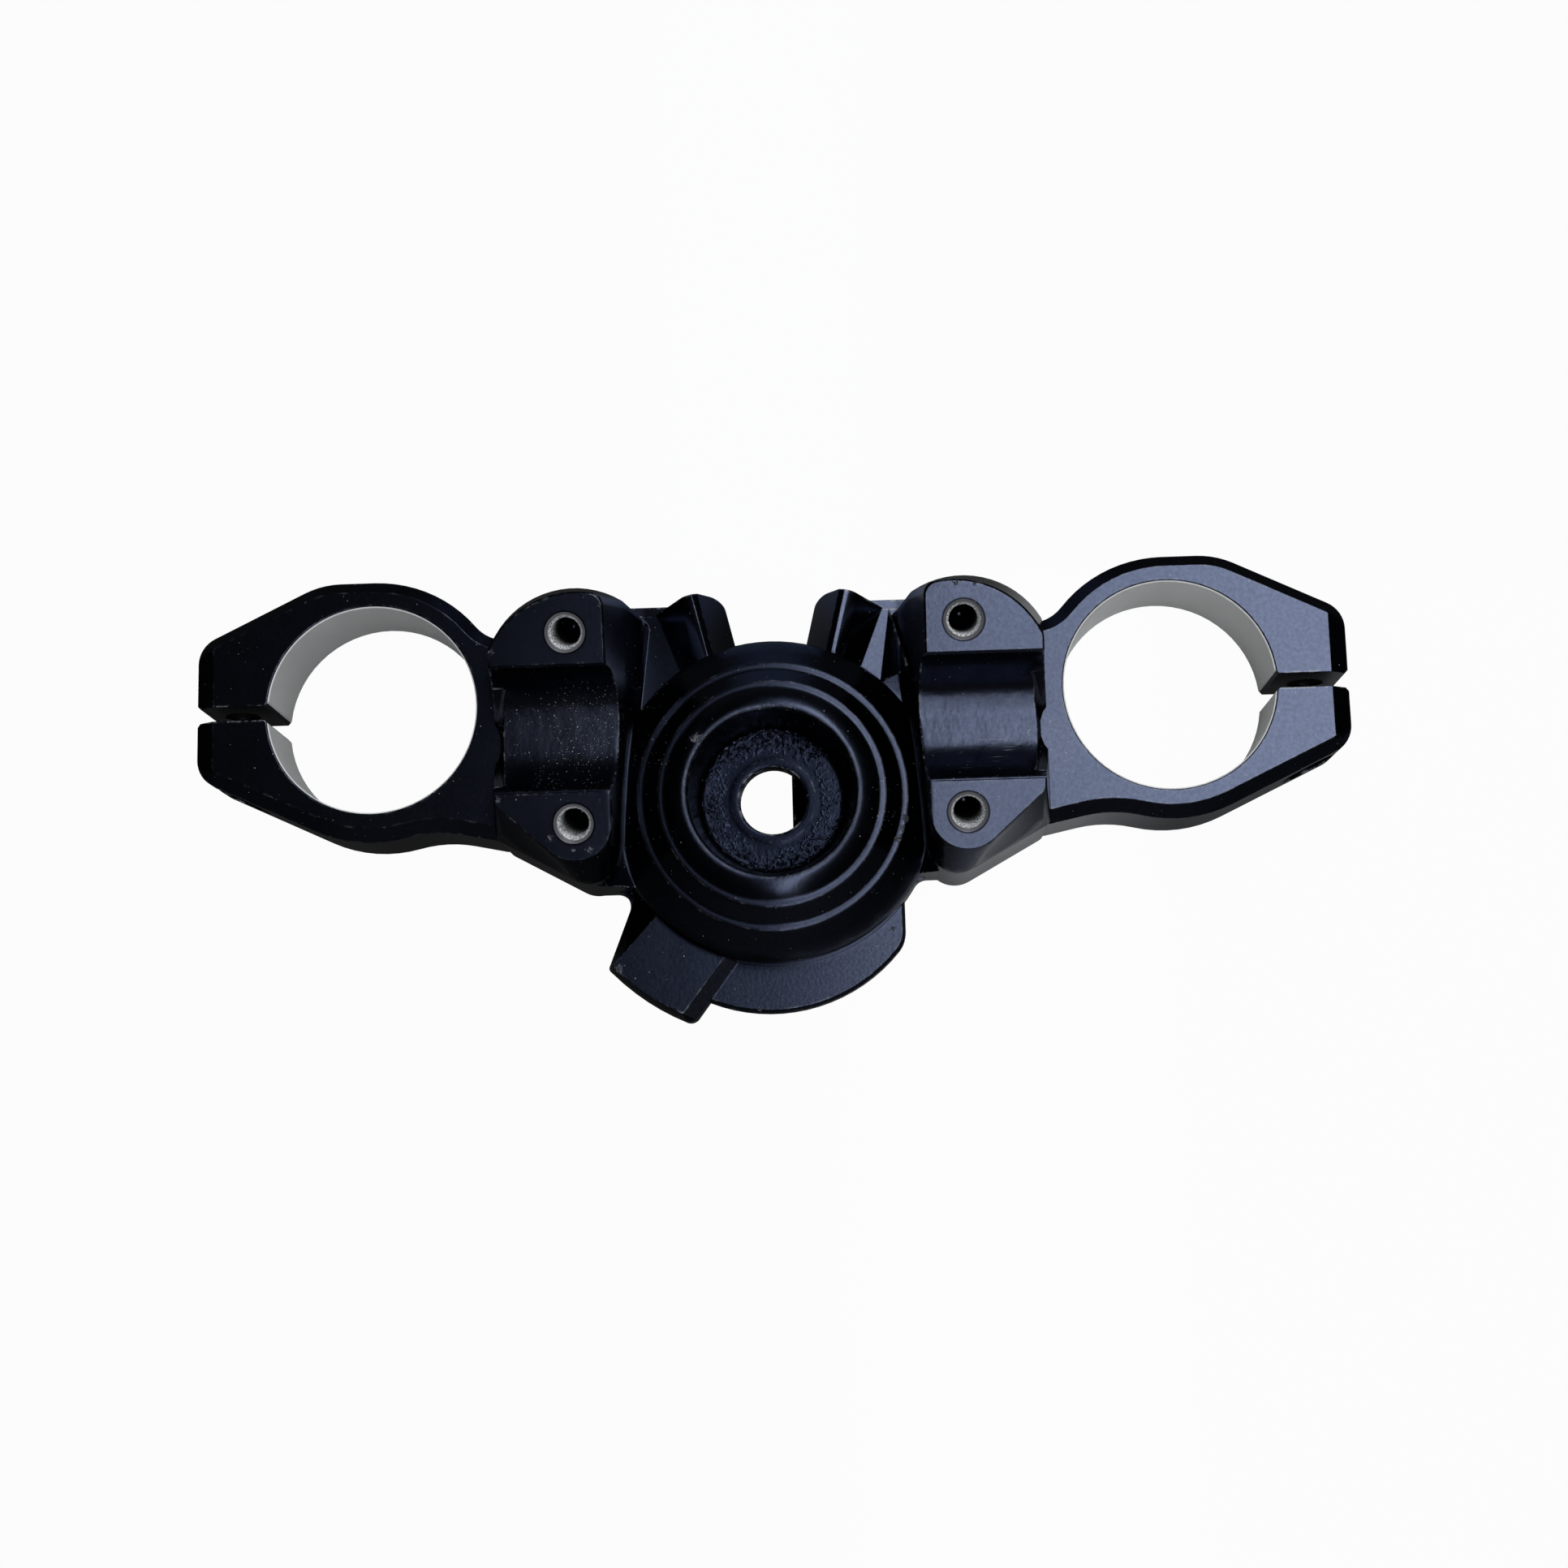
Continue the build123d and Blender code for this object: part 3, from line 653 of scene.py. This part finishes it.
def black_coat(grain, dust, axis, pad):
    """Satin black coat over the casting, with the cut surfaces bare, dust, knocks and worn edges."""
    material, tree, shader = new_material("black_coat")
    place = millimetres(tree)
    x, y, z = parts(tree, place)
    side = calc(tree, "ABSOLUTE", x)
    saddle = use_group(tree, pad, {"Place": place})
    cast = use_group(tree, grain, {"Place": place, "Size": grain_size})
    cup_distance = use_group(tree, axis, {"Place": place})["Distance"]
    fork_axis = {"Place": vector(tree, side, y, z), "X": fork_across, "Y": fork_along}
    bore = fade(tree, use_group(tree, axis, fork_axis)["Distance"], *bore_edge)
    sink, lip, bolt_distance = bolt_mouths(tree, saddle, side)
    cup, cup_relief = cup_floor(tree, place, z, cup_distance)
    waves, scratch = groove_marks(tree, place, x, saddle)
    knock = knock_marks(tree, place)
    pale = most(
        tree,
        dust_layers(tree, place, dust),
        product(tree, knock, knock_paleness),
        worn_edges(tree, place, bolt_distance),
        product(tree, scratch, scratch_paleness),
    )

    colour = blend(tree, fade(tree, cast["Height"], *coat_shading), coat_shade, coat_colour)
    # Darker coat on the cup floor: painted shade of its recess
    colour = blend(tree, cup, colour, coat_cup_painted_shade)
    metal = blend(tree, stretched(tree, place, bore_stain), metal_stain, metal_colour)
    colour = blend(tree, bore, colour, metal)
    colour = blend(tree, lip, colour, sink_edge)
    colour = blend(tree, sink, colour, sink_colour)
    colour = blend(tree, pale, colour, dust_colour)

    rough = calc(tree, "MULTIPLY_ADD", cast["Mottle"], coat_mottle, coat_roughness - coat_mottle / 2)
    rough = calc(tree, "MULTIPLY_ADD", waves, groove_mottle, rough)
    rough = blend(tree, most(tree, bore, sink), rough, metal_roughness)
    rough = blend(tree, pale, rough, dust_roughness)

    # Where it is dusty, worn or bare, it is less like a mirror
    dull = most(tree, pale, product(tree, bore, metal_dullness), product(tree, sink, sink_dullness))
    metallic = calc(tree, "SUBTRACT", 1.0, dull)

    turning = product(tree, stretched(tree, place, turning_marks), bore)
    height = calc(tree, "ADD", cup_relief, ledge_slopes(tree, z, cup_distance))
    marks = ((cast["Height"], grain_height), (waves, groove_height), (knock, knock_height))
    for mark, size in (*marks, (turning, turning_height)):
        height = calc(tree, "MULTIPLY_ADD", mark, size, height)
    bump = relief(tree, height, Normal=rounded_edges(tree, cup_distance))
    normal = move(tree, "NORMALIZE", move(tree, "ADD", bump, lean(tree, x, y, side, cup_distance)))
    give(tree, shader, {"Base Color": colour, "Roughness": rough, "Metallic": metallic, "Normal": normal})
    return material


def bare_metal(grain, pad):
    """Cut aluminium in the threads, bright at the mouth and dark further down, with oil and with painted
    shade of the hole's depth.
    """
    material, tree, shader = new_material("bare_metal")
    place = millimetres(tree)
    above = use_group(tree, pad, {"Place": place})["Above"]
    cut = use_group(tree, grain, {"Place": place, "Size": thread_grain_size})
    bright = fade(tree, cut["Height"], *thread_clean_grain)
    # Bright at the mouth and dark further down: painted shade of the hole's depth with oil, patchy by
    # grain
    clean_and_lit = product(tree, fade(tree, above, *thread_clean_lit_depth), bright)
    colour = blend(tree, clean_and_lit, thread_oil_and_shade, thread_colour)
    rough = calc(tree, "MULTIPLY_ADD", cut["Mottle"], thread_mottle, thread_roughness)
    normal = relief(tree, calc(tree, "MULTIPLY", cut["Height"], grain_height))
    give(tree, shader, {"Base Color": colour, "Roughness": rough, "Normal": normal})
    shader.inputs["Metallic"].default_value = thread_metallic
    return material


def floor_material():
    """Pale floor that shows white to the eye and faintly in reflections, keeps the part's shadow and is
    clear from below. Its colour paints a pool of light on the right, shade elsewhere and a bluish glow
    ahead."""
    material, tree, _ = new_material("pale_floor")
    tree.nodes.clear()
    x, y, _ = parts(tree, put(tree, "ShaderNodeTexCoord").outputs["Object"])
    # Painted pool of light on the right, painted shade elsewhere, and a painted bluish glow ahead
    falls = product(tree, fade(tree, x, *floor_fall), floor_fall_share)
    painted_pool = product(tree, fade(tree, x, *floor_rise), calc(tree, "SUBTRACT", 1.0, falls))
    behind = blend(tree, painted_pool, floor_painted_shade, floor_painted_light)
    ahead = blend(tree, fade(tree, calc(tree, "ABSOLUTE", x), *floor_notch), floor_painted_glow, floor_painted_shade)
    colour = blend(tree, fade(tree, y, *floor_ahead), behind, ahead)
    matt = put(tree, "ShaderNodeBsdfDiffuse", {"Color": colour}).outputs[0]
    white = put(tree, "ShaderNodeEmission").outputs[0]
    rays = put(tree, "ShaderNodeLightPath").outputs
    mirrored = most(tree, rays["Is Glossy Ray"], rays["Is Transmission Ray"])
    seen = product(tree, rays["Is Camera Ray"], floor_seen)
    share = most(tree, seen, product(tree, mirrored, floor_mirrored))
    top = put(tree, "ShaderNodeMixShader", {0: share, 1: matt, 2: white}).outputs[0]
    below = put(tree, "ShaderNodeNewGeometry").outputs["Backfacing"]
    clear = put(tree, "ShaderNodeBsdfTransparent").outputs[0]
    sided = put(tree, "ShaderNodeMixShader", {0: below, 1: top, 2: clear}).outputs[0]
    put(tree, "ShaderNodeOutputMaterial", {"Surface": sided})
    return material


def surroundings():
    """Dim room, darkest low down at the sides, that shows white to the eye."""
    world = bpy.data.worlds.new("studio")
    world.use_nodes = True
    tree = world.node_tree
    _, ahead, up = parts(tree, put(tree, "ShaderNodeTexCoord").outputs["Generated"])
    glow = product(tree, ahead, ahead, fade(tree, up, *horizon_fall))
    plain = blend(tree, fade(tree, up, *world_rise), world_low, world_top)
    strength = calc(tree, "MULTIPLY_ADD", glow, world_horizon, plain)
    rays = put(tree, "ShaderNodeLightPath").outputs
    strength = calc(tree, "MULTIPLY_ADD", rays["Is Diffuse Ray"], world_fill, strength)
    strength = blend(tree, rays["Is Camera Ray"], strength, 1.0)
    give(tree, tree.nodes["Background"], {"Color": (*world_tone, 1), "Strength": strength})
    return world


def panel(left, right, rear, front, brightness, colour):
    """Soft panel over a span of X and Y, with the power that gives it a brightness."""
    lamp = bpy.data.lights.new("panel", "AREA")
    lamp.shape = "RECTANGLE"
    lamp.size, lamp.size_y = right - left, front - rear
    lamp.energy = brightness * pi * lamp.size * lamp.size_y
    lamp.color = colour
    hung = link(bpy.data.objects.new("panel", lamp))
    hung.location = ((left + right) / 2, (rear + front) / 2, panel_height)


def studio():
    """Floor, soft panels, world and the photograph's camera."""
    corners = np.array([[[-1, -1, 0], [-1, 1, 0]], [[1, -1, 0], [1, 1, 0]]])
    floor = surface("floor", corners * floor_half - (0, 0, floor_drop), floor_material())
    for span in panel_spans:
        panel(*span)
    bpy.context.scene.world = surroundings()
    view = bpy.data.cameras.new("camera")
    view.lens = camera_lens
    view.sensor_width = sensor_width
    camera = link(bpy.data.objects.new("camera", view))
    camera.location = camera_place
    camera.rotation_euler = [radians(angle) for angle in camera_turn]
    bpy.context.scene.camera = camera
    bpy.context.scene.view_settings.view_transform = "Standard"


smooth_by_angle(body)
cast_grain, saddle_place = grain_group(), pad_group()
body.data.materials[0] = black_coat(cast_grain, dust_group(), axis_group(), saddle_place)
threads(bare_metal(cast_grain, saddle_place))
studio()

bpy.context.view_layer.update()
